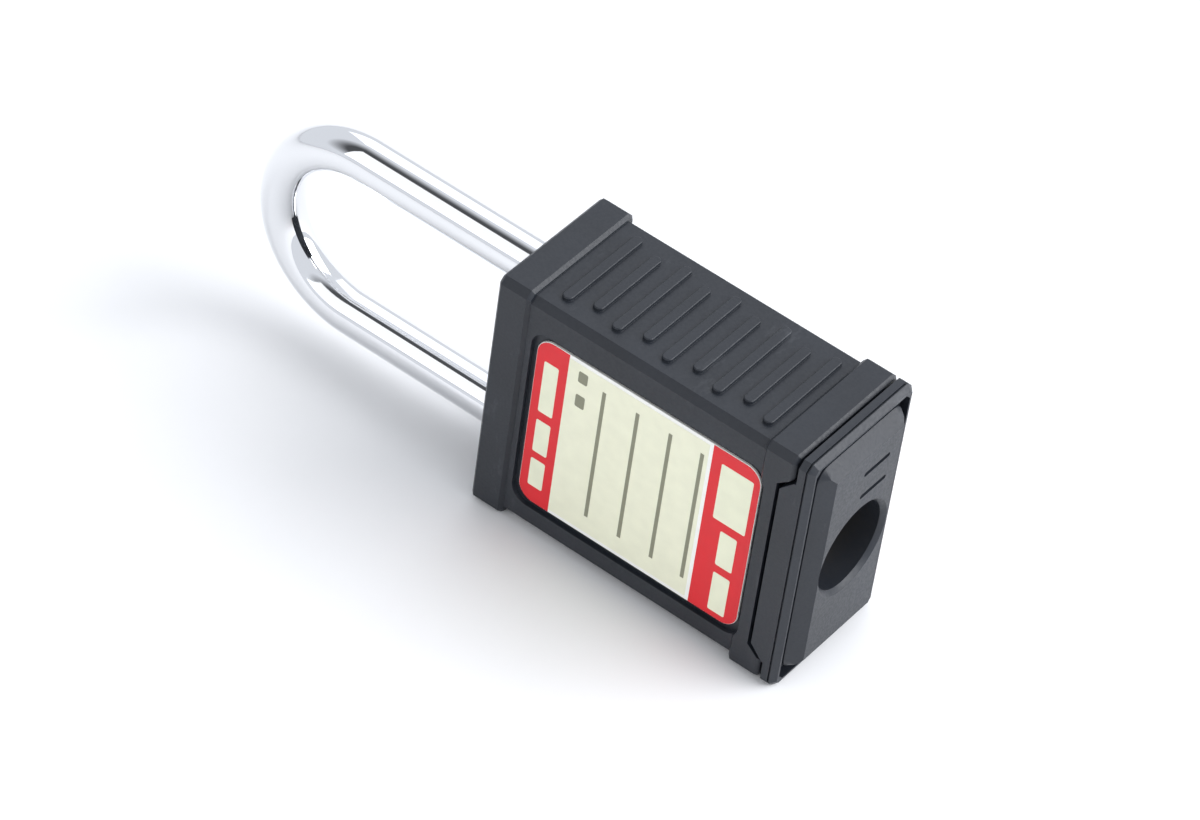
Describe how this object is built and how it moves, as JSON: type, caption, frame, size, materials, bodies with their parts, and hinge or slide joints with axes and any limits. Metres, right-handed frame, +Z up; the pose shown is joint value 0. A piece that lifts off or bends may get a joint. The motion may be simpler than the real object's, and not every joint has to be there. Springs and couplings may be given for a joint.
{
  "type": "safety padlock",
  "caption": "Lockout padlock with a ribbed moulded body, a slim chromed shackle, a write-on label and a pin-tumbler cylinder that draws two locking bolts.",
  "frame": {"origin": "middle of the overall box at the level of the surface the padlock lies on", "axes": "+Z up from the narrow side it lies on, +X from the shackle towards the key end, -Y out of the front label"},
  "size_m": [0.0929, 0.021, 0.038],
  "materials": {
    "body_nylon": "moulded reinforced nylon, satin",
    "cover_nylon": "moulded reinforced nylon, satin",
    "cast_alloy": "die-cast, as cast",
    "plate_steel": "zinc plated",
    "shackle_chrome": "chrome plated steel, polished",
    "bolt_steel": "hardened and ground",
    "cylinder_brass": "turned",
    "plug_brass": "turned, dulled by use",
    "spring_steel": "drawn spring wire",
    "pin_brass": "turned",
    "screw_steel": "black oxide",
    "label_vinyl": "printed vinyl film"
  },
  "bodies": {
    "case": {"body_shell": "body_nylon", "end_cover": "cover_nylon", "lock_case": "cast_alloy", "bolt_cover": "plate_steel", "cylinder_housing": "cylinder_brass", "chamber_cover": "cylinder_brass", "driver_pins": "pin_brass", "pin_springs": "spring_steel", "shackle_spring": "spring_steel", "retaining_pin": "plate_steel", "housing_pin": "plate_steel", "cover_screw": "screw_steel", "cover_insert": "cylinder_brass", "front_label": "label_vinyl", "back_label": "label_vinyl"},
    "plug": {"plug": "plug_brass", "plug_clip": "spring_steel", "key_pins": "pin_brass", "driver": "bolt_steel"},
    "shackle": {"shackle": "shackle_chrome"},
    "heel_bolt": {"heel_bolt": "bolt_steel"},
    "toe_bolt": {"toe_bolt": "bolt_steel"}
  },
  "joints": [
    {"name": "plug_turn", "type": "hinge", "parent": "case", "child": "plug", "pos_m": [0.02555, 0, 0.0184], "axis": [1, 0, 0], "range_deg": [0, 90]},
    {"name": "shackle_lift", "type": "slide", "parent": "case", "child": "shackle", "axis": [-1, 0, 0], "range_m": [0, 0.0126], "deforming": ["shackle_spring"]},
    {"name": "heel_bolt_slide", "type": "slide", "parent": "case", "child": "heel_bolt", "axis": [0, 0, 1], "range_m": [0, 0.006]},
    {"name": "toe_bolt_slide", "type": "slide", "parent": "case", "child": "toe_bolt", "axis": [0, 0, -1], "range_m": [0, 0.006]}
  ],
  "couplings": [
    {"joint": "shackle_lift", "follows": "plug_turn", "m_per_rad": 0.00802},
    {"joint": "heel_bolt_slide", "follows": "plug_turn", "m_per_rad": 0.003819},
    {"joint": "toe_bolt_slide", "follows": "plug_turn", "m_per_rad": 0.003819}
  ]
}
